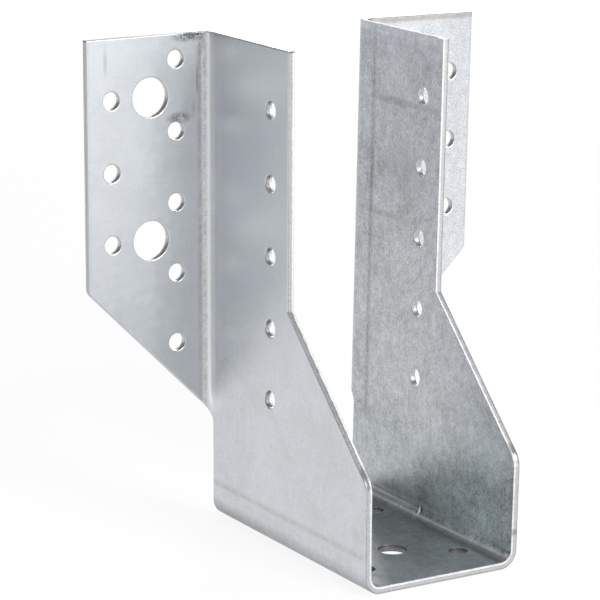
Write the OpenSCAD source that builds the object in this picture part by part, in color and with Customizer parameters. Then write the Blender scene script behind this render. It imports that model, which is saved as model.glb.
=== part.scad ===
// Joist hanger with outward header flanges, folded from one galvanised sheet.
//
// Frame: X across the joist, Y along it, Z up. The origin is on the header's
// face, at mid-width, level with the underside of the seat. The flanges' backs
// lie on the plane y = 0 and the seat reaches out towards -Y.

/* [Joist space] */
// Clear width between the two sides, at the seat
joist_w = 45; // [40:1:90]
// Height of the sides above the seat's bearing face
side_h = 137; // [125:1:190]
// Depth of the seat from the header's face to its front edge
seat_depth = 84; // [76:1:110]

/* [Sheet] */
// Thickness of the sheet
sheet_t = 2; // [1.5:0.1:3]
// Inside radius of the two bends beside the seat
seat_bend_r = 3; // [1.5:0.5:5]
// Inside radius of the two bends beside the header flanges
flange_bend_r = 2.5; // [1.5:0.5:4]
// Springback of each side from upright, in degrees
side_splay = 0.5; // [0:0.1:2]

/* [Sides] */
// Depth of the sides at the top, from the header's face
top_depth = 44.5; // [42:0.5:60]
// Height at which the front edge starts to slant forward
slant_top_z = 68.5; // [60:0.5:80]
// Height at which the slant meets the upright front edge above the seat
slant_foot_z = 30.5; // [20:0.5:40]
// Corner radius at the foot of the slant
slant_foot_r = 6; // [1:0.5:12]

/* [Header flanges] */
// Width of each flange, from the outer face of its side
flange_w = 37.5; // [36:0.5:60]
// Length of each flange's upright outer edge, from the top
flange_edge_h = 70; // [67:0.5:77]
// Angle of the slanted lower edge from level, in degrees
flange_cut_angle = 45; // [30:1:48]
// Corner radius between the outer edge and the slanted one
flange_corner_r = 3; // [0.5:0.5:8]
// Corner radius where the slanted edge runs out into the side's back edge
flange_root_r = 3; // [0.5:0.5:5]

/* [Holes] */
// Diameter of the nail holes
nail_d = 5; // [3:0.5:6]
// Diameter of the bolt holes in the flanges
bolt_d = 11; // [9:0.5:12]
// Spacing of the nail holes along each column
hole_pitch = 20; // [17:0.5:22]
// Nail holes in the column beside each flange's bend
inner_nails = 5; // [3:1:5]
// Nail holes in the column beside each flange's outer edge
outer_nails = 3; // [2:1:3]
// Nail holes in each side
side_nails = 5; // [3:1:5]
// Top edge to the first hole of a flange's inner column
inner_nail_drop = 7; // [5:0.5:12]
// Outer face of the side to a flange's inner column of nail holes
inner_nail_x = 10; // [8.5:0.5:11]
// Outer face of the side to the bolt holes
bolt_x = 18; // [17:0.5:20]
// Outer face of the side to a flange's outer column of nail holes
outer_nail_x = 30; // [28:0.5:32]
// Top edge to the first hole in each side
side_nail_drop = 17; // [10:0.5:20]
// Upper front edge to the column of holes in each side
side_nail_inset = 9; // [6:0.5:14]
// Diameter of the middle hole in the seat
seat_hole_d = 8; // [5:0.5:10]
// Front edge of the seat to its middle hole
seat_hole_inset = 24; // [15:0.5:34]
// Middle of the seat to each row of nail holes
seat_nail_x = 15; // [12:0.5:16]
// Front edge of the seat to the first pair of nail holes
seat_nail_inset = 14; // [8:0.5:20]
// Spacing of the two pairs of nail holes along the seat
seat_nail_pitch = 41.5; // [30:0.5:44]

/* [Hidden] */
$fn = 72;

// Share of the thickness at which a bent sheet keeps its flat length
NEUTRAL_SHARE = 0.44;
// Steps of the slanted cut as it wraps round a bend, and of the arc at its end
WRAP_STEPS = 8;
ROOT_STEPS = 5;
// Flats along each rounded corner of an outline
CORNER_STEPS = 8;
// Overshoot of every cutting tool past the face that it cuts
OVER = 1;

total_h = sheet_t + side_h;
outer_x = joist_w / 2 + sheet_t;
// Line on which each side leaves the flange bend; the lower back edge follows it
back_y = sheet_t + flange_bend_r;
// Front end of the seat and the sides before their front edge is cut
uncut_front_y = -seat_depth - OVER;
uncut_depth = -back_y - uncut_front_y;
// Axis of the seat bend
seat_bend_x = joist_w / 2 - seat_bend_r;
seat_bend_z = sheet_t + seat_bend_r;
// Axis of the flange bend
flange_bend_x = outer_x + flange_bend_r;
flange_edge_x = outer_x + flange_w;
flange_foot_z = total_h - flange_edge_h;
// Flat length of the sheet in a flange bend
wrap_len = (flange_bend_r + NEUTRAL_SHARE * sheet_t) * PI / 2;
// Heights of the slanted edge where it enters the bend, leaves it and ends
flange_cut_slope = tan(flange_cut_angle);
wrap_top_z = flange_foot_z - flange_cut_slope * (flange_edge_x - flange_bend_x);
wrap_foot_z = wrap_top_z - flange_cut_slope * wrap_len;
wrap_end_z = wrap_foot_z - flange_root_r * tan((90 - flange_cut_angle) / 2);
// Foot of the bent strip before the slanted cut takes its lower end away
strip_foot_z = floor(wrap_end_z);

// Heights and depths of the hole patterns
inner_nail_z = total_h - inner_nail_drop;
outer_nail_z = inner_nail_z - hole_pitch / 2;
side_nail_z = total_h - side_nail_drop;
side_nail_y = side_nail_inset - top_depth;
// The bolt holes stand level with the first and the last outer nail hole
bolt_pitch = hole_pitch * (outer_nails - 1);

function unit(v) = v / norm(v);

// Points along the fillet of radius r that rounds the corner b between a and c
function fillet(a, b, c, r) =
    let (
        to_a = unit(a - b),
        to_c = unit(c - b),
        half = acos(to_a * to_c) / 2,
        centre = b + unit(to_a + to_c) * r / sin(half),
        start = unit(b + to_a * r / tan(half) - centre),
        end = unit(b + to_c * r / tan(half) - centre)
    )
    [
        for (i = [0:CORNER_STEPS])
            let (w = (90 - half) * (2 * i / CORNER_STEPS - 1))
            centre + r * (
                unit(start + end) * cos(w) + unit(end - start) * sin(w)
            )
    ];

// Bent strip about Z: from the +X direction round to angle, height h
module bend(inside_r, angle, h) {
    rotate_extrude(angle = angle)
        translate([inside_r, 0])
            square([sheet_t, h]);
}

module seat() {
    difference() {
        translate([-seat_bend_x, uncut_front_y, 0])
            cube([2 * seat_bend_x, uncut_depth, sheet_t]);
        translate([0, seat_hole_inset - seat_depth, -OVER])
            cylinder(d = seat_hole_d, h = sheet_t + 2 * OVER);
        for (side = [-1, 1], row = [0, 1])
            translate([
                side * seat_nail_x,
                seat_nail_inset + row * seat_nail_pitch - seat_depth,
                -OVER
            ])
                cylinder(d = nail_d, h = sheet_t + 2 * OVER);
    }
}

// Bend from the seat up to where the leaning side leaves it
module seat_bend() {
    translate([seat_bend_x, -back_y, seat_bend_z])
        rotate([90, 0, 0])
            rotate([0, 0, -90])
                bend(seat_bend_r, 90 - side_splay, uncut_depth);
}

// Leans what is drawn upright about the axis of the seat bend
module leaned() {
    translate([seat_bend_x, -back_y, seat_bend_z])
        rotate([0, side_splay, 0])
            translate([-seat_bend_x, back_y, -seat_bend_z])
                children();
}

module side_plate() {
    difference() {
        translate([joist_w / 2, uncut_front_y, seat_bend_z])
            cube([sheet_t, uncut_depth, total_h - seat_bend_z]);
        for (i = [0:side_nails - 1])
            translate([joist_w / 2 - OVER, side_nail_y, side_nail_z - i * hole_pitch])
                rotate([0, 90, 0])
                    cylinder(d = nail_d, h = sheet_t + 2 * OVER);
    }
}

// Everything in front of the seat's and the sides' front edge, seen from +X
module front_cutter() {
    foot = [-seat_depth, slant_foot_z];
    knee = [-top_depth, slant_top_z];
    translate([-flange_edge_x, 0, 0])
        rotate([90, 0, 90])
            linear_extrude(2 * flange_edge_x)
                polygon(concat(
                    [[uncut_front_y - OVER, -OVER], [-seat_depth, -OVER]],
                    fillet([-seat_depth, 0], foot, knee, slant_foot_r),
                    [knee, [-top_depth, total_h + OVER]],
                    [[uncut_front_y - OVER, total_h + OVER]]
                ));
}

// Slanted edge along the sheet as it runs round the flange bend, and the arc
// that turns it into the side's back edge: [length along the sheet, height]
function wrap_path() =
    let (
        centre = [wrap_len - flange_root_r, wrap_end_z],
        arc_start = centre[0] + flange_root_r * sin(flange_cut_angle)
    )
    concat(
        [
            for (i = [0:WRAP_STEPS - 1])
                let (s = arc_start * i / WRAP_STEPS)
                [s, wrap_top_z - flange_cut_slope * s]
        ],
        [
            for (i = [0:ROOT_STEPS])
                let (a = (90 - flange_cut_angle) * (1 - i / ROOT_STEPS))
                centre + flange_root_r * [cos(a), sin(a)]
        ]
    );

// Solid under the wrapped edge, OVER wider than the bent strip on each face
module wrap_cutter() {
    path = concat(
        [[-OVER, wrap_top_z + flange_cut_slope * OVER]],
        wrap_path(),
        [[wrap_len + OVER, wrap_end_z]]
    );
    radii = [flange_bend_r - OVER, flange_bend_r + sheet_t + OVER];
    // Four points a step: inside and outside, each on the edge and at the floor
    points = [
        for (p = path, r = radii, z = [p[1], strip_foot_z - OVER])
            let (a = 90 + 90 * p[0] / wrap_len)
            [r * cos(a), r * sin(a), z]
    ];
    ends = len(path) - 1;
    polyhedron(points, concat(
        [[0, 2, 3, 1], [for (k = [0, 1, 3, 2]) 4 * ends + k]],
        [
            for (i = [0:ends - 1], q = [[0, 6, 2], [0, 4, 6], [2, 7, 3], [2, 6, 7],
                                        [3, 5, 1], [3, 7, 5], [1, 4, 0], [1, 5, 4]])
                [for (k = q) 4 * i + k]
        ]
    ));
}

module flange_bend() {
    translate([flange_bend_x, -back_y, 0])
        difference() {
            translate([0, 0, strip_foot_z])
                rotate([0, 0, 90])
                    bend(flange_bend_r, 90, total_h - strip_foot_z);
            wrap_cutter();
        }
}

module flange_plate() {
    flange_root = [flange_bend_x, wrap_top_z];
    flange_top = [flange_edge_x, total_h];
    difference() {
        rotate([90, 0, 0])
            linear_extrude(sheet_t)
                polygon(concat(
                    [flange_root],
                    fillet(flange_root, [flange_edge_x, flange_foot_z], flange_top, flange_corner_r),
                    [flange_top, [flange_bend_x, total_h]]
                ));
        for (i = [0:inner_nails - 1])
            flange_hole(inner_nail_x, inner_nail_z - i * hole_pitch, nail_d);
        for (i = [0:outer_nails - 1])
            flange_hole(outer_nail_x, outer_nail_z - i * hole_pitch, nail_d);
        for (i = [0, 1])
            flange_hole(bolt_x, outer_nail_z - i * bolt_pitch, bolt_d);
    }
}

module flange_hole(x, z, d) {
    translate([outer_x + x, OVER, z])
        rotate([90, 0, 0])
            cylinder(d = d, h = sheet_t + 2 * OVER);
}

module joist_hanger() {
    color("silver")
        difference() {
            union() {
                seat();
                for (side = [0, 1])
                    mirror([side, 0, 0]) {
                        seat_bend();
                        leaned() {
                            side_plate();
                            flange_bend();
                            flange_plate();
                        }
                    }
            }
            front_cutter();
        }
}

joist_hanger();
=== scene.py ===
# %% [markdown]
# # A joist hanger, folded from one sheet
#
# The real thing starts as a flat blank of galvanised steel. A press punches its
# holes, shears its outline and folds it four times: two bends beside the seat
# and two beside the flanges that nail to the header. This script follows the
# same order: it draws the blank flat, gives its edges the shape that shears
# leave, and then folds the whole sheet with one formula.

# %% The frame
import math

import bpy
import numpy as np
from mathutils import Matrix, Vector
from mathutils.geometry import delaunay_2d_cdt


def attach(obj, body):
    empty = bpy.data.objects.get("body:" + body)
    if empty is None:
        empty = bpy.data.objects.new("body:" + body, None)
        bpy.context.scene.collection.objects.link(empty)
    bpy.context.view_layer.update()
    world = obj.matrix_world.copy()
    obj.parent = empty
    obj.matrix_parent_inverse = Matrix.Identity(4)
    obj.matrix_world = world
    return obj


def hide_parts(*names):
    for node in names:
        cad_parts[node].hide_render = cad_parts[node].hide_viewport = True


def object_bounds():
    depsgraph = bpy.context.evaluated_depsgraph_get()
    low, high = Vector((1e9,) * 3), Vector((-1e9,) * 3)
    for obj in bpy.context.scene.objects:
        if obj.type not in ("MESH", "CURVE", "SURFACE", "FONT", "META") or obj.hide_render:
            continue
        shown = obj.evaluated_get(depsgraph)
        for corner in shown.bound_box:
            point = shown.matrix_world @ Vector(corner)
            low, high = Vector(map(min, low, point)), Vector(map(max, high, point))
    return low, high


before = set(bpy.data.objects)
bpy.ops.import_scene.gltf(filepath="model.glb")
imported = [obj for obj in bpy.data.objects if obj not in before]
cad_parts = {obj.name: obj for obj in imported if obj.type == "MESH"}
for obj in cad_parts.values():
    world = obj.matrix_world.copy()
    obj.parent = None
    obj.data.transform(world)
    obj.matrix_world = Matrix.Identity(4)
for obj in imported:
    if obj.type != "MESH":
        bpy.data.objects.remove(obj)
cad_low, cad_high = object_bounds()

MM = 0.001
print("solid's box, mm:", [round(v / MM, 2) for v in (*cad_low, *cad_high)])

# %% [markdown]
# ## The blank's sizes
#
# A sheet-metal drawing gives sizes in millimetres on the folded part, and a
# bend allowance turns them into sizes on the flat blank. The same is done
# here, so that every hole lands where the solid model has it.

# %% Sizes in millimetres
JOIST = 45.0  # clear width between the sides
THICK = 2.0
SEAT_BEND, FLANGE_BEND = 3.0, 2.5  # inside radii of the bends
LEAN = math.radians(0.5)  # springback of each side
NEUTRAL = 0.44  # share of the thickness at which a bend keeps its length

TOP = THICK + 137.0
KNEE, FOOT, FOOT_R = 68.5, 30.5, 6.0  # heights between which a side's front edge slants, and its corner
SEAT_FRONT, SIDE_FRONT = round(cad_low.y / MM, 1), -44.5
BACK = -(THICK + FLANGE_BEND)  # where each side enters the bend of its flange
OUTER = JOIST / 2 + THICK  # outer face of a side
FLANGE_OUT = OUTER + 37.5  # outer edge of a flange
FLANGE_LOW, FLANGE_CORNER_R, ROOT_R = TOP - 70.0, 3.0, 3.0  # foot of that edge, and the slant's corners

SEAT_FLAT = JOIST / 2 - SEAT_BEND  # middle of the seat to the start of its bend
SEAT_AXIS_Z = THICK + SEAT_BEND
FLANGE_AXIS_X = OUTER + FLANGE_BEND
SEAT_ARC = (SEAT_BEND + NEUTRAL * THICK) * (math.pi / 2 - LEAN)
FLANGE_ARC = (FLANGE_BEND + NEUTRAL * THICK) * math.pi / 2
FLANGE_START = BACK + FLANGE_ARC
print(f"bend allowances: seat {SEAT_ARC:.3f} mm, flange {FLANGE_ARC:.3f} mm")


def across(height):
    """Distance across the blank of a height on the folded side: seat, bend and the height above it."""
    return SEAT_FLAT + SEAT_ARC + height - SEAT_AXIS_Z


def along(x):
    """Distance along the blank of a distance x from the middle on the folded flange."""
    return FLANGE_START + x - FLANGE_AXIS_X


print(f"blank: {2 * across(TOP):.1f} x {along(FLANGE_OUT) - SEAT_FRONT:.1f} mm")

# %% [markdown]
# ## Folding
#
# Every point of the sheet has three flat coordinates: p across the joist,
# q along it, and the depth w below the face that ends up outside. Folding is a
# function of these three. Away from the bends it only turns the sheet, and in
# a bend the distance across it becomes an angle. No bend crosses another, so
# both kinds fit in one formula.


# %% Fold
def turns(p, q):
    """Angles of the seat's and the flange's bend at a point: its share of the bend times the turn."""
    seat = np.clip((abs(p) - SEAT_FLAT) / SEAT_ARC, 0, 1) * (math.pi / 2 - LEAN)
    flange = np.clip((q - BACK) / FLANGE_ARC, 0, 1) * math.pi / 2
    return seat, flange


def fold(p, q, w):
    """Folded place of flat points.

    The side's distance from the seat bend's axis is the outer face's distance less the depth, and
    follows the flange's arc once q passes the back. That distance and the height above the bend
    are then turned about the seat bend's axis by the seat angle.
    """
    seat, flange = turns(p, q)
    beyond = np.maximum(q - FLANGE_START, 0)
    off_axis = FLANGE_AXIS_X - SEAT_FLAT - (FLANGE_BEND + w) * np.cos(flange) + beyond
    height = np.maximum(abs(p) - SEAT_FLAT - SEAT_ARC, 0)
    x = np.minimum(abs(p), SEAT_FLAT) + off_axis * np.sin(seat) + height * np.cos(seat)
    y = np.minimum(q, BACK) + (FLANGE_BEND + w) * np.sin(flange)
    z = SEAT_AXIS_Z - off_axis * np.cos(seat) + height * np.sin(seat)
    return np.stack([np.copysign(x, p), y, z], axis=-1)


def folded_direction(p, q, along_p, along_q, along_w):
    """Folded direction of a flat one: its three parts times the sheet's own axes, which turn with it."""
    seat, flange = turns(p, q)
    side = np.where(p < 0, -1.0, 1.0)
    zero = np.zeros_like(seat)
    axis_p = np.stack([side * np.cos(seat), zero, np.sin(seat)], -1)
    axis_q = np.stack(
        [side * np.sin(flange) * np.sin(seat), np.cos(flange), -np.sin(flange) * np.cos(seat)], -1
    )
    axis_w = np.stack(
        [-side * np.cos(flange) * np.sin(seat), np.sin(flange), np.cos(flange) * np.cos(seat)], -1
    )
    flat = (side * along_p)[..., None] * axis_p
    return flat + along_q[..., None] * axis_q + along_w[..., None] * axis_w


print("a flange's top corner folds to", fold(across(TOP), along(FLANGE_OUT), 0.0).round(2))

# %% [markdown]
# ## The outline
#
# The outline is a list of corners with a radius each. One half is drawn and
# mirrored. The edges get their points close together where they cross a bend,
# because there the fold has to curve them.


# %% Corners, rounded
def rounded(corners, radii, steps=10):
    """Closed path whose corners are arcs.

    Each arc's centre lies on the corner's bisector, r / sin(half angle) away from the corner.
    """
    path = []
    for before, corner, after, r in zip(
        np.roll(corners, 1, 0), corners, np.roll(corners, -1, 0), radii
    ):
        if r == 0:
            path.append(corner[None])
            continue
        to_before = (before - corner) / np.linalg.norm(before - corner)
        to_after = (after - corner) / np.linalg.norm(after - corner)
        half = math.acos(to_before @ to_after) / 2
        bisector = to_before + to_after
        bisector /= np.linalg.norm(bisector)
        centre = corner + bisector * r / math.sin(half)
        tangent = to_after - to_before
        tangent /= np.linalg.norm(tangent)
        angle = np.linspace(-1, 1, steps + 1)[:, None] * (math.pi / 2 - half)
        path.append(centre - r * (bisector * np.cos(angle) - tangent * np.sin(angle)))
    return np.concatenate(path)


right_corners = np.array([
    [across(FOOT), SEAT_FRONT],
    [across(KNEE), SIDE_FRONT],
    [across(TOP), SIDE_FRONT],
    [across(TOP), along(FLANGE_OUT)],
    [across(FLANGE_LOW), along(FLANGE_OUT)],
    [across(FLANGE_LOW) - along(FLANGE_OUT) + BACK, BACK],
])
right_radii = [FOOT_R, 0, 0, 0, FLANGE_CORNER_R, ROOT_R]
left_corners = right_corners[::-1] * [-1, 1]
corner_path = rounded(np.concatenate([right_corners, left_corners]), right_radii + right_radii[::-1])
print(len(corner_path), "points in the rounded outline")


# %% Points close together in the bends
def in_bend(p, q):
    """Whether a flat point lies in one of the bends."""
    seat = (abs(p) > SEAT_FLAT) & (abs(p) < SEAT_FLAT + SEAT_ARC)
    return seat | ((q > BACK) & (q < FLANGE_START))


def divided(path, fine=0.42, coarse=3.0):
    """The path with its sides cut at the bends' limits, then into short lengths.

    A side from a to b meets the limit m at the share (m - a) / (b - a) of its length. The lengths
    are fine in a bend and coarse elsewhere.
    """
    limits_p = np.array([-1, -1, 1, 1]) * (SEAT_FLAT + np.array([SEAT_ARC, 0, 0, SEAT_ARC]))
    limits_q = np.array([BACK, FLANGE_START])
    pieces = []
    for a, b in zip(path, np.roll(path, -1, 0)):
        with np.errstate(divide="ignore", invalid="ignore"):
            cuts = np.concatenate(
                [(limits_p - a[0]) / (b[0] - a[0]), (limits_q - a[1]) / (b[1] - a[1])]
            )
        cuts = cuts[np.isfinite(cuts) & (cuts > 1e-6) & (cuts < 1 - 1e-6)]
        stops = np.unique(np.concatenate([[0.0, 1.0], cuts]).round(9))
        for low, high in zip(stops, stops[1:]):
            middle = a + (b - a) * (low + high) / 2
            step = fine if in_bend(*middle) else coarse
            count = max(1, math.ceil((high - low) * np.linalg.norm(b - a) / step))
            share = low + (high - low) * np.arange(count)[:, None] / count
            pieces.append(a + (b - a) * share)
    return np.concatenate(pieces)


outline = divided(corner_path)
print(len(outline), "points round the blank")

# %% [markdown]
# ## The punched holes
#
# Two bolt holes in each flange stand beside columns of nail holes, and the
# seat and the sides have theirs. Each is a ring of points that runs the other
# way round, so that the metal is always on the left of a path.

# %% Rings of the holes
NAIL_R, BOLT_R, MIDDLE_R = 2.5, 5.5, 4.0
PITCH = 20.0
BESIDE_FOLD, BOLTS, BESIDE_EDGE = along(OUTER + 10.0), along(OUTER + 18.0), along(OUTER + 30.0)
SIDE_COLUMN = SIDE_FRONT + 9.0
FIRST_NAIL, FIRST_LOWER = TOP - 7.0, TOP - 17.0  # highest hole beside the fold, and of the other columns
SEAT_NAILS_P = (-15.0, 15.0)
SEAT_NAILS_Q = (SEAT_FRONT + 14.0, SEAT_FRONT + 55.5)
SEAT_MIDDLE_Q = SEAT_FRONT + 24.0


def column(q, first_height, count, radius, rise=PITCH):
    """Holes down one column, as (p, q, radius): one rise apart, and mirrored to the other side."""
    heights = first_height - rise * np.arange(count)
    half = np.stack([across(heights), np.full(count, q), np.full(count, radius)], axis=-1)
    return np.concatenate([half, half * [-1, 1, 1]])


def ring(p, q, radius):
    """Clockwise circle of points: centre plus radius times (cos, -sin) of evenly spaced angles."""
    count = 48 if radius < MIDDLE_R else 72
    angle = np.arange(count) * 2 * math.pi / count
    return np.stack([p + radius * np.cos(angle), q - radius * np.sin(angle)], -1)


holes = np.concatenate([
    [[0, SEAT_MIDDLE_Q, MIDDLE_R]],
    [[p, q, NAIL_R] for p in SEAT_NAILS_P for q in SEAT_NAILS_Q],
    column(BESIDE_FOLD, FIRST_NAIL, 5, NAIL_R),
    column(BESIDE_EDGE, FIRST_LOWER, 3, NAIL_R),
    column(BOLTS, FIRST_LOWER, 2, BOLT_R, rise=2 * PITCH),
    column(SIDE_COLUMN, FIRST_LOWER, 5, NAIL_R),
])
paths = [outline] + [ring(*hole) for hole in holes]
print(len(holes), "holes")

# %% [markdown]
# ## The sheared edge
#
# A punch first pulls the surface down with it, which rounds the edge (the
# roll-over). Then it cuts a smooth wall (the burnish), and at last the metal
# breaks and leaves a rough, slightly undercut wall with a sharp edge. A bevel
# would round both rims alike, so the profile is a short list of (inset, depth)
# points instead, carried along the outline and round every hole.

# %% Profile of the edge
ROLL_IN, ROLL_DEEP = 0.34, 0.34  # reach of the roll-over on the face and down the wall
BURNISH_END, BREAK_DEEP = 0.98, 0.16  # end of the smooth wall, and length of the step to the rough one
BREAK_IN, SHARP = 0.05, 0.05  # undercut of the rough wall, and size of its last edge
RIM = 0.75  # how far the edge reaches into each face
quarter = np.linspace(0, math.pi / 2, 6)
roll = np.stack([ROLL_IN * (1 - np.sin(quarter)), ROLL_DEEP * (1 - np.cos(quarter))], -1)
profile = np.concatenate([
    [[RIM, 0]],
    roll,
    [[0, BURNISH_END], [BREAK_IN, BURNISH_END + BREAK_DEEP], [BREAK_IN, THICK - SHARP]],
    [[BREAK_IN + SHARP, THICK], [RIM, THICK]],
])
# Out of the wall and down into the sheet: how much each point's normal has of either
profile_normal = np.concatenate([
    [[0, -1]],
    np.stack([np.sin(quarter), -np.cos(quarter)], -1),
    [[1, 0.1], [1, 0.1], [1, 0]],
    [[0, 1], [0, 1]],
])
profile_normal /= np.linalg.norm(profile_normal, axis=1, keepdims=True)
print(len(profile), "points in the edge's profile")


# %% Carry it along a path
def edge_frames(path):
    """Offset vector and the two normals of each point of a closed path.

    Each side's normal points to its right, away from the metal. The offset is the sum of the two
    sides' normals over (1 + their dot product), which keeps every side parallel to itself.
    Where the path turns by less than 30 degrees, both normals become their mean.
    """
    side = np.roll(path, -1, 0) - path
    normal = np.stack([side[:, 1], -side[:, 0]], -1)
    normal /= np.linalg.norm(normal, axis=1, keepdims=True)
    before = np.roll(normal, 1, 0)
    dot = (normal * before).sum(1, keepdims=True)
    offset = (normal + before) / (1 + dot)
    smooth = dot > math.cos(math.radians(30))
    mean = (normal + before) / np.linalg.norm(normal + before, axis=1, keepdims=True)
    return offset, np.where(smooth, mean, before), np.where(smooth, mean, normal)


def edge_strip(path):
    """Flat points, faces and corner normals of the edge along one path.

    Each point is the path's less the profile's inset times the offset, at the profile's depth:
    rows run along the path and columns along the profile.
    """
    offset, normal_in, normal_out = edge_frames(path)
    rows, columns = len(path), len(profile)
    flat = path[:, None] - offset[:, None] * profile[None, :, :1]
    depth = np.broadcast_to(profile[None, :, 1:], (rows, columns, 1))
    points = np.concatenate([flat, depth], -1).reshape(-1, 3)
    i, j = np.arange(rows), np.arange(columns - 1)
    after = (i + 1) % rows

    def index(row, column):
        """Numbers of the points at a face's corner, face by face."""
        return (row[:, None] * columns + column[None]).reshape(-1)

    def corner(row, column, normal):
        """Normals there: the profile's outward part times the path's normal, and its part down."""
        part = profile_normal[column]
        level = normal[row, None] * part[None, :, :1]
        down = np.broadcast_to(part[None, :, 1:], (rows, columns - 1, 1))
        return np.concatenate([level, down], -1)

    faces = np.stack([index(i, j), index(after, j), index(after, j + 1), index(i, j + 1)], -1)
    normals = np.stack([
        corner(i, j, normal_out), corner(after, j, normal_in),
        corner(after, j + 1, normal_in), corner(i, j + 1, normal_out),
    ], -2).reshape(-1, 4, 3)
    return points, faces, normals


strips = [edge_strip(path) for path in paths]
print(sum(len(faces) for _, faces, _ in strips), "faces along the edges")

# %% [markdown]
# ## Marks of the die
#
# The shoulders of the press die leave a shallow groove parallel to each bend.
# It could be painted on, but a real groove also catches the light, so it is
# pressed into the face: a few hundredths of a millimetre, as a bell curve.

# %% Grooves of the press die
DIE_REACH = 10.6  # from the corner that the folded faces would meet in
DIE_DRIFT = 0.4  # by which the groove on each side lies further from its flange than that
DIE_DEEP, DIE_WIDE = 0.04, 0.45
DIE_START, DIE_FADE = 22.0, 6.0  # height from which the flanges' grooves deepen, and over how much
die_seat = np.array([OUTER - DIE_REACH, across(DIE_REACH)])
die_flange = np.array([-DIE_REACH - DIE_DRIFT, along(OUTER - THICK + DIE_REACH)])


def die_lines(p, q, outside):
    """Depth of the die's grooves and its slopes across and along the blank.

    Each groove is a bell curve of the distance to its line. The bends beside the seat mark the
    outside of the sheet and those beside the flanges mark the inside, each on the die's side.
    """
    depth, slope_p, slope_q = np.zeros_like(p), np.zeros_like(p), np.zeros_like(p)
    if outside:
        for line in die_seat:
            reach = (abs(p) - line) / DIE_WIDE
            groove = DIE_DEEP * np.exp(-reach**2) * (q < BACK)
            depth += groove
            slope_p += -2 * reach / DIE_WIDE * groove * np.sign(p)
    else:
        deepened = np.clip((abs(p) - across(DIE_START)) / DIE_FADE, 0, 1)
        for line in die_flange:
            reach = (q - line) / DIE_WIDE
            groove = DIE_DEEP * np.exp(-reach**2) * deepened
            depth += groove
            slope_q += -2 * reach / DIE_WIDE * groove
    return depth, slope_p, slope_q


print("grooves at", die_seat.round(1), "mm across and", die_flange.round(1), "mm along the blank")

# %% [markdown]
# ## The two faces
#
# Between the edges lie the two faces of the sheet. A Delaunay triangulation
# fills the flat blank round its holes. It gets extra rows of points in the
# bends, where the face has to curve, and along the grooves. A grid laid over
# everything would need many more faces to follow the round holes.


# %% Rows of points for the bends and the grooves
def rows_of_points(lines, start, stop, step, swap):
    """Grid of points on parallel lines, a step apart from start to stop: (line, point), or swapped."""
    count = max(2, round((stop - start) / step))
    grid = np.stack(np.meshgrid(lines, np.linspace(start, stop, count)), -1).reshape(-1, 2)
    return grid[:, ::-1] if swap else grid


ROW_STEP, EDGE_GAP = 2.2, 1.5  # between points of a row, and from its ends to the blank's edges
sixteenths = np.arange(0, 17) / 16
spread = DIE_WIDE * np.array([-2.4, -1.4, -0.7, 0, 0.7, 1.4, 2.4])
seat_lines = np.concatenate(
    [SEAT_FLAT + SEAT_ARC * sixteenths, *(line + spread for line in die_seat)]
)
flange_lines = np.concatenate(
    [BACK + FLANGE_ARC * sixteenths, *(line + spread for line in die_flange)]
)
row_low, row_high = across(26), across(TOP) - EDGE_GAP  # ends of the rows along a flange's bend
extra = np.concatenate([
    *(rows_of_points(side * seat_lines, SEAT_FRONT + EDGE_GAP, BACK - EDGE_GAP, ROW_STEP, False)
      for side in (-1, 1)),
    *(rows_of_points(flange_lines, side * row_low, side * row_high, side * ROW_STEP, True)
      for side in (-1, 1)),
])
print(len(extra), "points laid on the blank")


# %% Keep those that lie on the metal
def inside(points, loops):
    """Whether points lie in the blank: a ray to the right crosses an odd number of the loops' sides."""
    ends = [np.concatenate([loop, np.roll(loop, -1, 0)], 1) for loop in loops]
    x1, y1, x2, y2 = np.concatenate(ends).T
    count = np.zeros(len(points), int)
    for part in np.array_split(np.arange(len(points)), max(1, len(points) // 2000)):
        x, y = points[part, 0, None], points[part, 1, None]
        spans = (y1 > y) != (y2 > y)
        with np.errstate(divide="ignore", invalid="ignore"):
            meets = x1 + (y - y1) * (x2 - x1) / (y2 - y1)
        count[part] = (spans & (x < meets)).sum(1)
    return count % 2 == 1


def clear_of(points, loops, gap):
    """The points further than a gap from every side of the loops.

    A point's nearest place on a side is at the share (its projection on the side) / (length
    squared), kept between 0 and 1.
    """
    keep = np.ones(len(points), bool)
    for loop in loops:
        low, high = loop.min(0) - gap, loop.max(0) + gap
        near = np.flatnonzero(((points > low) & (points < high)).all(1))
        for part in np.array_split(near, max(1, len(near) // 500)):
            a, side = loop[None], (np.roll(loop, -1, 0) - loop)[None]
            to = points[part, None] - a
            share = np.clip((to * side).sum(-1) / (side * side).sum(-1), 0, 1)
            keep[part] &= (np.linalg.norm(to - side * share[..., None], axis=-1) > gap).all(1)
    return points[keep]


rims = [path - edge_frames(path)[0] * RIM for path in paths]
extra = clear_of(extra[inside(extra, rims)], rims, 0.3)
print(len(extra), "of them kept")

# %% Triangulate
starts = np.cumsum([0] + [len(rim) for rim in rims])
loops = [start + np.arange(len(rim)) for start, rim in zip(starts, rims)]
sides = np.concatenate([np.stack([loop, np.roll(loop, -1)], -1) for loop in loops])
rim_points = np.concatenate(rims)
flat_points = np.concatenate([rim_points, extra])
_, _, triangles, sources, _, _ = delaunay_2d_cdt(
    list(map(Vector, flat_points)), sides.tolist(), [], 0, 1e-7
)
source = np.array([s[0] if s else -1 for s in sources])
triangles = source[np.array(triangles)]
assert triangles.min() >= 0, "the triangulation added a point"
triangles = triangles[inside(flat_points[triangles].mean(1), rims)]
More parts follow.
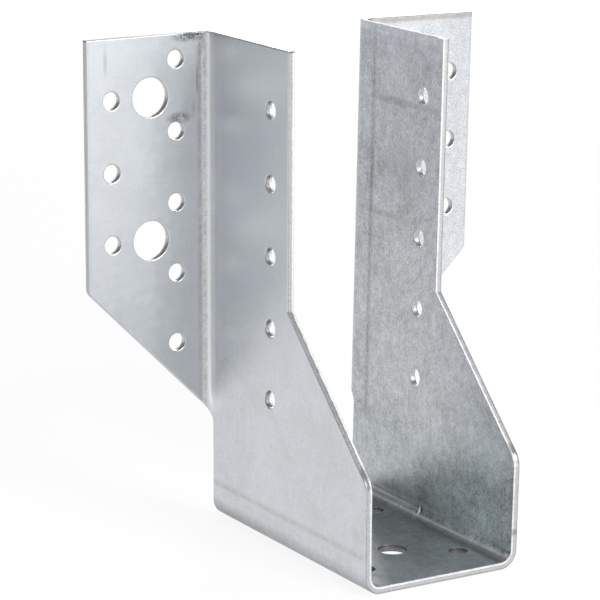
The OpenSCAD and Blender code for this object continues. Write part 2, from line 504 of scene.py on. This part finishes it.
# Twice the signed area tells which way round a triangle goes
a, b, c = (flat_points[triangles[:, k]] for k in range(3))
turn = (b[:, 0] - a[:, 0]) * (c[:, 1] - a[:, 1]) - (b[:, 1] - a[:, 1]) * (c[:, 0] - a[:, 0])
triangles[turn < 0] = triangles[turn < 0][:, ::-1]
print(len(triangles), "triangles on each face")

# %% [markdown]
# ## One mesh
#
# The edge strips and the two faces share their points along the rims, so the
# sheet is one closed mesh. Its normals are worked out from the formulas as
# well: a flat face stays flat in the light right up to its rounded edge. Each
# point also keeps its flat place as an attribute, for the finish to read.

# %% Number the points of the edges
flat, quads, quad_normals = [], [], []
rim_of = {0: [], len(profile) - 1: []}  # point numbers along the profile's first and last column
count = 0
for points, faces, normals in strips:
    numbers = count + np.arange(len(points)).reshape(-1, len(profile))
    for column_index, rim in rim_of.items():
        rim.append(numbers[:, column_index])
    flat.append(points)
    quads.append(faces + count)
    quad_normals.append(normals)
    count += len(points)
attribute_depth = [np.concatenate(flat)[:, 2]]
print(count, "points along the edges")

# %% Add the two faces
caps, cap_normals = [], []
for column_index, outside in ((0, True), (len(profile) - 1, False)):
    groove, slope_p, slope_q = die_lines(flat_points[:, 0], flat_points[:, 1], outside)
    ids = np.concatenate(rim_of[column_index] + [count + np.arange(len(extra))])
    sunk = groove if outside else THICK - groove
    flat.append(np.column_stack([extra, sunk[len(rim_points):]]))
    attribute_depth.append(np.full(len(extra), 0.0 if outside else THICK))
    out = np.column_stack([slope_p, slope_q, np.full(len(groove), -1.0 if outside else 1.0)])
    corners = triangles[:, ::-1] if outside else triangles
    caps.append(ids[corners])
    cap_normals.append(out[corners])
    count += len(extra)
flat = np.concatenate(flat)
quads, caps = np.concatenate(quads), np.concatenate(caps)
print(count, "points,", len(quads) + len(caps), "faces")

# %% Fold it into a mesh
corner_flat = flat[np.concatenate([quads.reshape(-1), caps.reshape(-1)])]
corner_normals = folded_direction(
    corner_flat[:, 0],
    corner_flat[:, 1],
    *np.concatenate([part.reshape(-1, 3) for part in quad_normals + cap_normals]).T,
)
corner_normals /= np.linalg.norm(corner_normals, axis=1, keepdims=True)
flat_place = np.column_stack([flat[:, :2], np.concatenate(attribute_depth)])

sheet_mesh = bpy.data.meshes.new("folded_sheet")
sheet_mesh.from_pydata((fold(*flat.T) * MM).tolist(), [], quads.tolist() + caps.tolist())
sheet_mesh.polygons.foreach_set("use_smooth", np.ones(len(quads) + len(caps), bool))
sheet_place = sheet_mesh.attributes.new("sheet", "FLOAT_VECTOR", "POINT")
sheet_place.data.foreach_set("vector", flat_place.astype(np.float32).reshape(-1))
sheet_mesh.normals_split_custom_set(corner_normals.tolist())
hanger = bpy.data.objects.new("folded_sheet", sheet_mesh)
bpy.context.scene.collection.objects.link(hanger)
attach(hanger, "root")
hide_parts("joist_hanger")
print(len(sheet_mesh.polygons), "faces in the sheet")

# %% [markdown]
# ## A way to write shaders
#
# A material is a tree of nodes. Placing each node by hand hides the arithmetic
# that it does. Wrapping a socket in a small class lets it be written as
# arithmetic instead: each operator adds its Math node.


# %% Sockets that can be added and multiplied
class Wire:
    """An output socket of a tree. Arithmetic on it adds Math nodes to the same tree."""

    def __init__(self, finish, socket):
        self.finish, self.socket = finish, socket

    def math(self, operation, *values):
        """Adds a Math node that takes the values in their order."""
        return self.finish.node("ShaderNodeMath", {"operation": operation}, dict(enumerate(values)))

    def __add__(self, other):
        return self.math("ADD", self, other)

    def __sub__(self, other):
        return self.math("SUBTRACT", self, other)

    def __rsub__(self, other):
        return self.math("SUBTRACT", other, self)

    def __mul__(self, other):
        return self.math("MULTIPLY", self, other)

    def __abs__(self):
        return self.math("ABSOLUTE", self)

    __radd__, __rmul__ = __add__, __mul__


class Finish:
    """The node tree of a material, or of the world, emptied and ready for its nodes."""

    def __init__(self, owner):
        self.owner = owner
        owner.use_nodes = True
        self.tree = owner.node_tree
        self.tree.nodes.clear()

    def node(self, kind, settings=None, values=None, out=0):
        """Adds a node: its settings first, then the value or link of each named or numbered socket."""
        node = self.tree.nodes.new(kind)
        for name, value in (settings or {}).items():
            setattr(node, name, value)
        for name, value in (values or {}).items():
            socket = node.inputs[name]
            if isinstance(value, Wire):
                self.tree.links.new(value.socket, socket)
            else:
                socket.default_value = value
        return Wire(self, node.outputs[out]) if node.outputs else node

    def blend(self, factor, first, second):
        """Colour that goes from the first to the second as the factor goes from 0 to 1."""
        return self.node(
            "ShaderNodeMix", {"data_type": "RGBA"}, {0: factor, 6: first, 7: second}, out=2
        )


print("sums, products and differences of sockets can now be written as such")

# %% [markdown]
# ## Galvanised steel
#
# Hot-dip zinc is a metal, so its colour comes from what it reflects. It is
# never even: the zinc freezes in faint grains, rollers leave a fine texture
# along the sheet, and handling leaves grey scuffs. All of it belongs to the
# flat sheet, so the patterns are laid in the blank's own coordinates and bend
# with it. Laid in space instead, they would be cut off at each fold.

# %% Where on the sheet
zinc = Finish(bpy.data.materials.new("galvanised_sheet"))
place = zinc.node("ShaderNodeAttribute", {"attribute_name": "sheet"}, out=1)
split = zinc.node("ShaderNodeSeparateXYZ", None, {0: place}).socket.node
p, q, depth = (Wire(zinc, socket) for socket in split.outputs)
away = abs(p)  # from the middle of the seat


def fade(value, start, end, first, last):
    """Smooth step: first where a value is under the start, last where it is over the end."""
    return zinc.node(
        "ShaderNodeMapRange", {"interpolation_type": "SMOOTHSTEP"},
        {"Value": value, "From Min": start, "From Max": end, "To Min": first, "To Max": last},
    )


def over(value, start, end):
    """0 up to the start, rising smoothly to 1 at the end."""
    return fade(value, start, end, 0.0, 1.0)


def under(value, start, end):
    """1 up to the start, falling smoothly to 0 at the end."""
    return fade(value, start, end, 1.0, 0.0)


def band(value, middle, reach):
    """1 where a value is at the middle of a band, falling smoothly to 0 at its reach."""
    return under(abs(value - middle), 0.0, reach)


def stretched(vector, factors):
    """A vector times a factor in each direction: a pattern read there is drawn out where it is small."""
    return zinc.node("ShaderNodeVectorMath", {"operation": "MULTIPLY"}, {0: vector, 1: factors})


def spot(p_middle, q_middle, p_reach, q_reach):
    """1 in the middle of an ellipse on the sheet, falling smoothly to 0 at its edge."""
    off = zinc.node(
        "ShaderNodeVectorMath", {"operation": "SUBTRACT"}, {0: place, 1: (p_middle, q_middle, 0)}
    )
    distance = zinc.node(
        "ShaderNodeVectorMath", {"operation": "LENGTH"},
        {0: stretched(off, (1 / p_reach, 1 / q_reach, 0))}, out=1,
    )
    return under(distance, 0.2, 1.0)


def spots(*rows):
    """Sum of spots, each row being the arguments of a spot and its strength."""
    return sum((spot(*row[:4]) * row[4] for row in rows), start=0.0)


inner = over(depth, 1.93, 1.98)
outer = under(depth, 0.06, 0.3)
wall = 1.0 - inner - outer
right = over(p, -5.0, 5.0)
left = 1.0 - right
print("masks of the sheet:", len(zinc.tree.nodes), "nodes")

# %% [markdown]
# ## Textures of the zinc
#
# Zinc shows several grains at once: wide clouds where it cooled unevenly,
# blotches of its crystals, fine specks, and streaks along the way it was
# rolled and rubbed. One noise can't give all of them, so there is one noise
# for each, centred on zero, to be mixed in different shares on each face.


# %% Grains of the zinc
def mottle(scale, stretch=(1.0, 1.0, 1.0), detail=2.0, roughness=0.5, distortion=0.0):
    """Noise about zero: the noise at the stretched place, less one half."""
    return zinc.node("ShaderNodeTexNoise", None, {
        "Vector": stretched(place, stretch), "Scale": scale, "Detail": detail,
        "Roughness": roughness, "Distortion": distortion,
    }) - 0.5


cloud = mottle(0.08, detail=4.0, roughness=0.6, distortion=0.6)
blotch = mottle(0.4, detail=3.0, roughness=0.65)
speck = mottle(2.2, detail=1.0)
grain = mottle(1.0, (1.2, 2.0, 1.0), roughness=0.6)
up_streak = mottle(1.0, (0.12, 2.4, 1.0))
along_streak = mottle(1.0, (2.4, 0.1, 1.0))
print("with its grains:", len(zinc.tree.nodes), "nodes")

# %% [markdown]
# ## Tone of the faces
#
# The outside of the sheet is bright and even, and the inside is duller, with more of the zinc's grain.
# The flanges, the left side and the inside of the right side also get shades of their own. The seat gets
# a painted reflection, lighter on its left than on its right, and the right side a painted shade near
# its front foot. The tone is one number, the level, to which each mark is added.

# %% Tone of the two faces
on_flange = over(q, 0.0, 1.5)
dull = cloud * 0.36 + blotch * 0.42 + grain * 0.52 + up_streak * 0.2 + speck * 0.28
bright = cloud * 0.09 + blotch * 0.07 + grain * 0.09 + speck * 0.08
bright += (up_streak * (1.0 - on_flange) + along_streak * on_flange) * 0.06
level = outer * (bright + 0.675) + inner * (dull + 0.5)
print("with the faces' tone:", len(zinc.tree.nodes), "nodes")

# %% Shade of each flange and side, and painted reflection on the seat
left_side = left * under(q, -8.0, -5.0)
lower = under(away, across(35), across(85))
own = right * over(q, -1.0, 1.0) * (speck * 0.5 + blotch * 0.26 + 0.035)
own += left_side * lower * (cloud * 0.14 + blotch * 0.16 + speck * 0.22)
own += left_side * (under(q, -44.0, -16.0) * 0.04 + over(away, across(50), across(72)) * 0.02)
own -= left * over(q, 3.0, 14.0) * 0.035
level += outer * own

# Painted reflection: the seat is lighter on its left and darker towards its right
on_seat = under(away, 18.0, 22.0)
own = on_seat * fade(p, -8.0, 14.0, 0.38, 0.07)
own += over(p, across(26), across(34)) * under(p, across(50), across(88)) * 0.025
# A faint lighter spot on the right side, and painted shade near its front foot
own += spot(across(37), -36.0, 12.0, 18.0) * 0.03 - spot(41.0, SEAT_FRONT, 14.0, 24.0) * 0.1
level += inner * own
print("with each part's shade:", len(zinc.tree.nodes), "nodes")

# %% [markdown]
# ## Lines along the folds
#
# Each flange's fold gets a painted highlight: a bright line, with a darker band beside it. The bends of
# the seat get painted highlights and painted shade, and the grooves of the die hold dirt. Such lines run
# along a bend, so each is a band about one distance on the blank. The strip that was rubbed inside,
# under the top edge, starts at one distance too.

# %% Painted highlight along each flange's fold
beside_flange = over(away, across(29.0), across(38.0)) * outer
# Painted highlight: a bright line in the fold of each flange, with the level lowered in a darker band
# beside it
level += beside_flange * (
    band(q, -4.0, 2.9) * (speck * 0.7 + 0.46)
    + band(q, -3.2, 0.9) * 0.08
    + band(q, -6.5, 4.5) * 0.08
    - band(q, 0.7, 1.4) * (blotch * 0.3 + 0.11)
    - band(q, -1.1, 1.5) * (0.08 - blotch * 0.6 - speck * 0.6)
)
level -= outer * (1.0 - lower) * band(q, 0.6, 1.8) * (blotch * 0.3 + 0.05)
print("with the folds' lines:", len(zinc.tree.nodes), "nodes")

# %% Dirt in the die's grooves
groove_dirt = band(q, die_flange[0], 1.8) * over(away, across(22), across(30)) * inner
groove_dirt += band(q, die_flange[1], 0.9) * inner
outside_grooves = (band(away, die_seat[0], 1.5) + band(away, die_seat[1] - 0.2, 1.5)) * outer
groove_dirt += outside_grooves * 0.8
level -= groove_dirt * (blotch * 0.7 + under(away, across(118), across(127)) * 0.04 + 0.09)
print("with the grooves:", len(zinc.tree.nodes), "nodes")

# %% Painted highlights and shade in the seat's bends
# Painted highlight along the inside of each seat bend; painted highlight and shade in the right bend and
# on the seat beside it, darker towards the front
seat_bend_highlight = band(away, across(2.0), 0.75) * inner
forward = under(q, -46.0, -34.0)
low_side = under(p, 38.0, 50.0)
bend_highlight_and_shade = band(p, 26.1, 1.4) * fade(q, -60.0, -36.0, 0.0, 0.2)
bend_highlight_and_shade -= band(p, 18.8, 4.0) * fade(q, -80.0, -46.0, -0.15, 0.12)
bend_highlight_and_shade -= forward * (band(p, 24.2, 2.0) * 0.28 + over(p, 24.5, 27.5) * low_side * 0.08)
bend_highlight_and_shade -= under(q, -64.0, -54.0) * over(p, 22.4, 23.2) * low_side * 0.08
level += inner * bend_highlight_and_shade + seat_bend_highlight * (blotch * 0.5 + 0.29)
# Painted shadow: the outside of each seat bend darkens towards the floor
level -= outer * fade(away, 22.5, 27.2, 0.36, 0.0)
print("with the seat's bends:", len(zinc.tree.nodes), "nodes")

# %% Rubbed strip under the top edge
under_top = over(away + blotch * 1.5, across(133.0), across(134.0)) * inner
level += under_top * (along_streak * 0.2 - grain * 0.3 + 0.01)
level += over(away, across(136.3), across(137.1)) * inner * 0.07
print("with the top strip:", len(zinc.tree.nodes), "nodes")

# %% [markdown]
# ## Scuffs
#
# Tools, stacking and transport leave grey rubs and short scratches. On the real
# piece each has its own place, which no noise would give, so they are spots:
# a place on the blank, a reach both ways and a strength. The rubs are broken
# up by the grain of the zinc, because they touch only its high points.

# %% Scuffs and scratches
hatch = over(up_streak * 0.6 + blotch * 1.2 + speck * 0.8, -0.2, 0.04)
rubs = spots(
    (-across(138.2), 4.6, 2.4, 6.8, 0.5),
    (-across(115.6), 7.4, 2.3, 5.2, 0.36),
    (-across(119.0), 4.0, 5.0, 4.0, 0.08),
    (-across(136.6), 0.2, 5.0, 2.4, 0.22),
)
lines = spots(
    (-across(126.0), 1.63, 5.2, 0.34, 0.3),
    (-across(133.0), 30.1, 5.5, 0.9, 0.13),
    (-across(117.0), 2.8, 4.0, 0.3, 0.14),
)
scratches = spots((-across(127.6), -9.96, 1.4, 0.16, 0.3), (-across(62.0), -6.4, 1.2, 0.16, 0.3))
level += outer * (scratches - rubs * hatch - lines)
print("with the scuffs outside:", len(zinc.tree.nodes), "nodes")

# %% Rubs across the right side, and the struck mark in its bend
rubbed = over(grain + blotch, -0.12, 0.12)
rubs = spots(
    (across(118.6), -25.0, 1.6, 24.0, 1.0),
    (across(85.8), -15.0, 1.5, 15.0, 1.0),
    (across(78.5), -13.0, 0.7, 10.0, 0.6),
    (across(99.0), -28.0, 9.0, 16.0, 0.5),
    (across(130.0), -38.0, 1.5, 2.6, 0.8),
    (across(135.5), -18.9, 2.2, 0.3, 1.2),
)
struck = spots(
    (24.0, -40.2, 2.2, 0.6, 2.6),
    (25.3, -41.2, 1.6, 0.5, -0.5),
    (25.7, -39.2, 1.4, 0.4, -0.5),
    (23.2, -39.2, 0.9, 0.5, -0.35),
)
rubs = rubs * rubbed * 0.2 + spot(across(98.0), -20.0, 26.0, 40.0) * 0.04
level += inner * (struck - right * rubs)
print("with the scuffs inside:", len(zinc.tree.nodes), "nodes")

# %% [markdown]
# ## The cut edges
#
# A sheared wall shows bare steel: bright where the punch burnished it, rough and brighter still where
# the metal broke, with a dark rim at the end. The depth below the outer face tells which is which. Where
# a whole edge is darker or lighter than the others, the level is multiplied instead of added to, which
# keeps the marks on it. The walls of the seat's holes get painted shade, the slanted front edges get
# painted light, and the corner at each side's foot gets painted shade that tones down its highlight.

# %% Burnish, break and rim
broken = over(depth + blotch * 0.4, 1.3, 1.5) * wall
left_rim = over(q, along(60.4), along(61.9)) * left
level += wall * (grain * 0.3 + 0.55) + broken * (speck * 0.3 + 0.26)
level -= band(depth, 0.3, 0.22) * (1.0 - left_rim) * 0.2 + over(depth, 1.8, 1.95) * wall * 0.3
print("with the cut edges:", len(zinc.tree.nodes), "nodes")

# %% Painted shade in the walls of the seat's holes, and the top edges
# Painted shade: the walls of the seat's holes are darker and redder, standing in for the contact shade
# under the hanger
seat_hole_shade = under(away, 19.0, 20.0) * over(q, -82.5, -81.5) * wall
level *= 1.0 - seat_hole_shade * fade(depth, 1.1, 1.7, 0.6, 0.87)
behind_tip = under(p - q, across(137.0) + 43.0, across(137.0) + 44.0)
top_wall = over(away, across(138.4), across(138.7)) * behind_tip * wall
right_side_top = over(p, 0.0, 1.0) * under(q, -3.0, -1.0) * over(depth, 0.2, 0.5)
level *= 1.0 - top_wall * (right_side_top * 0.28 + 0.6)
right_top = over(p, across(136.9), across(138.0)) * over(q, -2.0, 0.0) * outer
right_rim = over(q, along(61.0), along(61.7)) * right * outer
level *= 1.0 - right_top * (speck * 0.6 + 0.28) - right_rim * 0.09
print("with holes and top edges:", len(zinc.tree.nodes), "nodes")

# %% Left rim, painted light on the slanted edges and painted shade at their feet, and a nick in the front edge
level *= 1.0 - left_rim * (outer * 0.09 + wall * 0.16 - band(depth, 0.25, 0.3) * 0.16)
slanted = over(away, across(29), across(32)) * under(away, across(66), across(68))
slanted *= under(q, -44.6, -44.0)
corner = over(away, across(28.5), across(30.0)) * under(away, across(33.0), across(35.0))
nick = spot(across(10.0), SEAT_FRONT, 1.2, 3.0)
# Painted light: the walls of the slanted front edges are made lighter
level *= 1.0 + wall * slanted * 0.14
# Painted shade at the corner of each side's foot, which tones down its highlight; the nick is a darker
# spot
level *= 1.0 - wall * (corner * 0.45 + nick * 0.4)
print("with the front edges:", len(zinc.tree.nodes), "nodes")

# %% [markdown]
# ## Colour and gloss
#
# Zinc is nearly grey: a little bluer inside towards the top, and a little redder where bare steel or
# dirt shows, in the painted shade of the seat's holes and in the painted highlight of the seat's bends.
# The tint is kept apart from the level: three blends choose it, and the level scales the result. The
# metal itself is one Principled shader, which is roughest where the walls broke.

# %% Colour, roughness and bump
blue = over(away, across(70), across(125)) * inner * 0.35 + cloud * 0.5 + under_top * 0.35 + 0.12
cool = zinc.blend(blue, (0.967, 1.0, 1.032, 1), (0.95, 1.0, 1.09, 1))
slate = zinc.blend(under(away, across(20), across(32)) * inner * 0.8, cool, (0.93, 1.0, 1.01, 1))
# The painted shade in the seat's holes and the painted highlight in the seat's bends are tinted redder
# as well
reddish = wall * 0.4 + seat_hole_shade * 0.5 + right_top + band(q, 0.0, 2.0) * beside_flange * 0.6
reddish += seat_bend_highlight * 0.5 + groove_dirt * outer * 0.6
tint = zinc.blend(reddish, slate, (1.03, 0.985, 0.975, 1))
colour = zinc.node("ShaderNodeVectorMath", {"operation": "SCALE"}, {0: tint, "Scale": level})
roughness = outer * 0.4 + inner * 0.33 + wall * 0.38 + broken * 0.15 + blotch * 0.15 + cloud * 0.1
relief = grain * 0.6 + speck * 0.4 + blotch * 0.5 + broken * grain * 4.0
bump = zinc.node("ShaderNodeBump", None, {"Strength": 0.1, "Distance": 0.0002, "Height": relief})
shader = zinc.node("ShaderNodeBsdfPrincipled", None, {
    "Base Color": colour, "Roughness": roughness, "Metallic": 1.0, "Normal": bump,
})
zinc.node("ShaderNodeOutputMaterial", None, {"Surface": shader})
sheet_mesh.materials.append(zinc.owner)
print("the whole finish:", len(zinc.tree.nodes), "nodes")

# %% [markdown]
# ## The studio
#
# Metal shows its surroundings, so the studio matters more than the lamps. To
# the camera and in the metal's reflections the floor glows white, with a tenth
# of plain paper left in it, which keeps the hanger's soft shadow. The world is
# a dim, slightly blue room, which tones the faces that mirror it.

# %% Floor
FLOOR_REACH, FLOOR_GAP = 4.0, 0.0002
floor_mesh = bpy.data.meshes.new("floor")
floor_corners = FLOOR_REACH * np.array([[-1, -1, 0], [1, -1, 0], [1, 1, 0], [-1, 1, 0]])
floor_mesh.from_pydata(floor_corners.tolist(), [], [(0, 1, 2, 3)])
floor = bpy.data.objects.new("floor", floor_mesh)
floor.location.z = cad_low.z - FLOOR_GAP
bpy.context.scene.collection.objects.link(floor)
paper = Finish(bpy.data.materials.new("white_floor"))
rays = paper.node("ShaderNodeLightPath").socket.node
seen = sum(
    (Wire(paper, rays.outputs[f"Is {kind} Ray"]) for kind in ("Camera", "Glossy", "Transmission")),
    start=0.0,
)
diffuse = paper.node("ShaderNodeBsdfDiffuse", None, {"Color": (0.9, 0.9, 0.9, 1)})
glow = paper.node("ShaderNodeEmission", None, {"Color": (1, 1, 1, 1), "Strength": 1.0})
surface = paper.node("ShaderNodeMixShader", None, {0: seen * 0.9, 1: diffuse, 2: glow})
paper.node("ShaderNodeOutputMaterial", None, {"Surface": surface})
floor_mesh.materials.append(paper.owner)
print("floor at", round(floor.location.z / MM, 2), "mm")

# %% World
studio = Finish(bpy.data.worlds.new("studio"))
room = studio.node("ShaderNodeBackground", None, {"Color": (0.97, 0.985, 1, 1), "Strength": 0.3})
studio.node("ShaderNodeOutputWorld", None, {"Surface": room})
bpy.context.scene.world = studio.owner
print("world:", len(studio.tree.nodes), "nodes")

# %% [markdown]
# ## Lamps
#
# Four square soft lamps stand on a sphere round the hanger. Two in front light
# the flanges, a weak one hangs overhead, and the seat mirrors one that stands
# low behind it, on the right. Large lamps give zinc broad, soft highlights,
# where small ones would draw hard, bright spots.

# %% Soft lamps
middle = (cad_low + cad_high) / 2


def softbox(name, azimuth, elevation, power, size=0.7, distance=1.5):
    """A square lamp that faces the hanger's middle.

    It stands in the direction (sin a cos e, -cos a cos e, sin e) from there: azimuth 0 is in
    front, and it grows to the right.
    """
    a, e = math.radians(azimuth), math.radians(elevation)
    away = Vector((math.sin(a) * math.cos(e), -math.cos(a) * math.cos(e), math.sin(e)))
    light = bpy.data.lights.new(name, "AREA")
    light.size, light.energy = size, power
    lamp = bpy.data.objects.new(name, light)
    lamp.location = middle + away * distance
    lamp.rotation_euler = away.to_track_quat("Z", "Y").to_euler()
    bpy.context.scene.collection.objects.link(lamp)
    print(name, "at", [round(v, 2) for v in lamp.location], "m")


softbox("front", 10, 35, 22)
softbox("front_low", 10, 12, 4.8)
softbox("overhead", 0, 88, 3)
softbox("back_low", 138, 14, 13, size=0.9)

# %% [markdown]
# ## Camera
#
# The hanger is seen from the front and the left, a little from above, with a
# long lens, so its upright edges stay nearly parallel. The camera stands back
# along its own line of sight from a point close to the hanger's middle.

# %% Camera
AZIMUTH, ELEVATION, ROLL = (math.radians(v) for v in (31.935, 13.728, 0.726))
DISTANCE = 773.08 * MM
forward = Vector((
    math.sin(AZIMUTH) * math.cos(ELEVATION),
    math.cos(AZIMUTH) * math.cos(ELEVATION),
    -math.sin(ELEVATION),
))
sideways = Vector((math.cos(AZIMUTH), -math.sin(AZIMUTH), 0))
upward = sideways.cross(forward)
right_axis = sideways * math.cos(ROLL) + upward * math.sin(ROLL)
up_axis = upward * math.cos(ROLL) - sideways * math.sin(ROLL)
aim = middle + Vector((-14.22, 8.52, -1.21)) * MM
camera = bpy.data.objects.new("camera", bpy.data.cameras.new("camera"))
camera.data.lens, camera.data.sensor_width = 169.75, 36.0
turned = Matrix((right_axis, up_axis, -forward)).transposed().to_4x4()
camera.matrix_world = Matrix.Translation(aim - forward * DISTANCE) @ turned
bpy.context.scene.collection.objects.link(camera)
bpy.context.scene.camera = camera
bpy.context.scene.view_settings.view_transform = "Standard"
print("camera at", [round(v, 3) for v in camera.matrix_world.translation], "m")
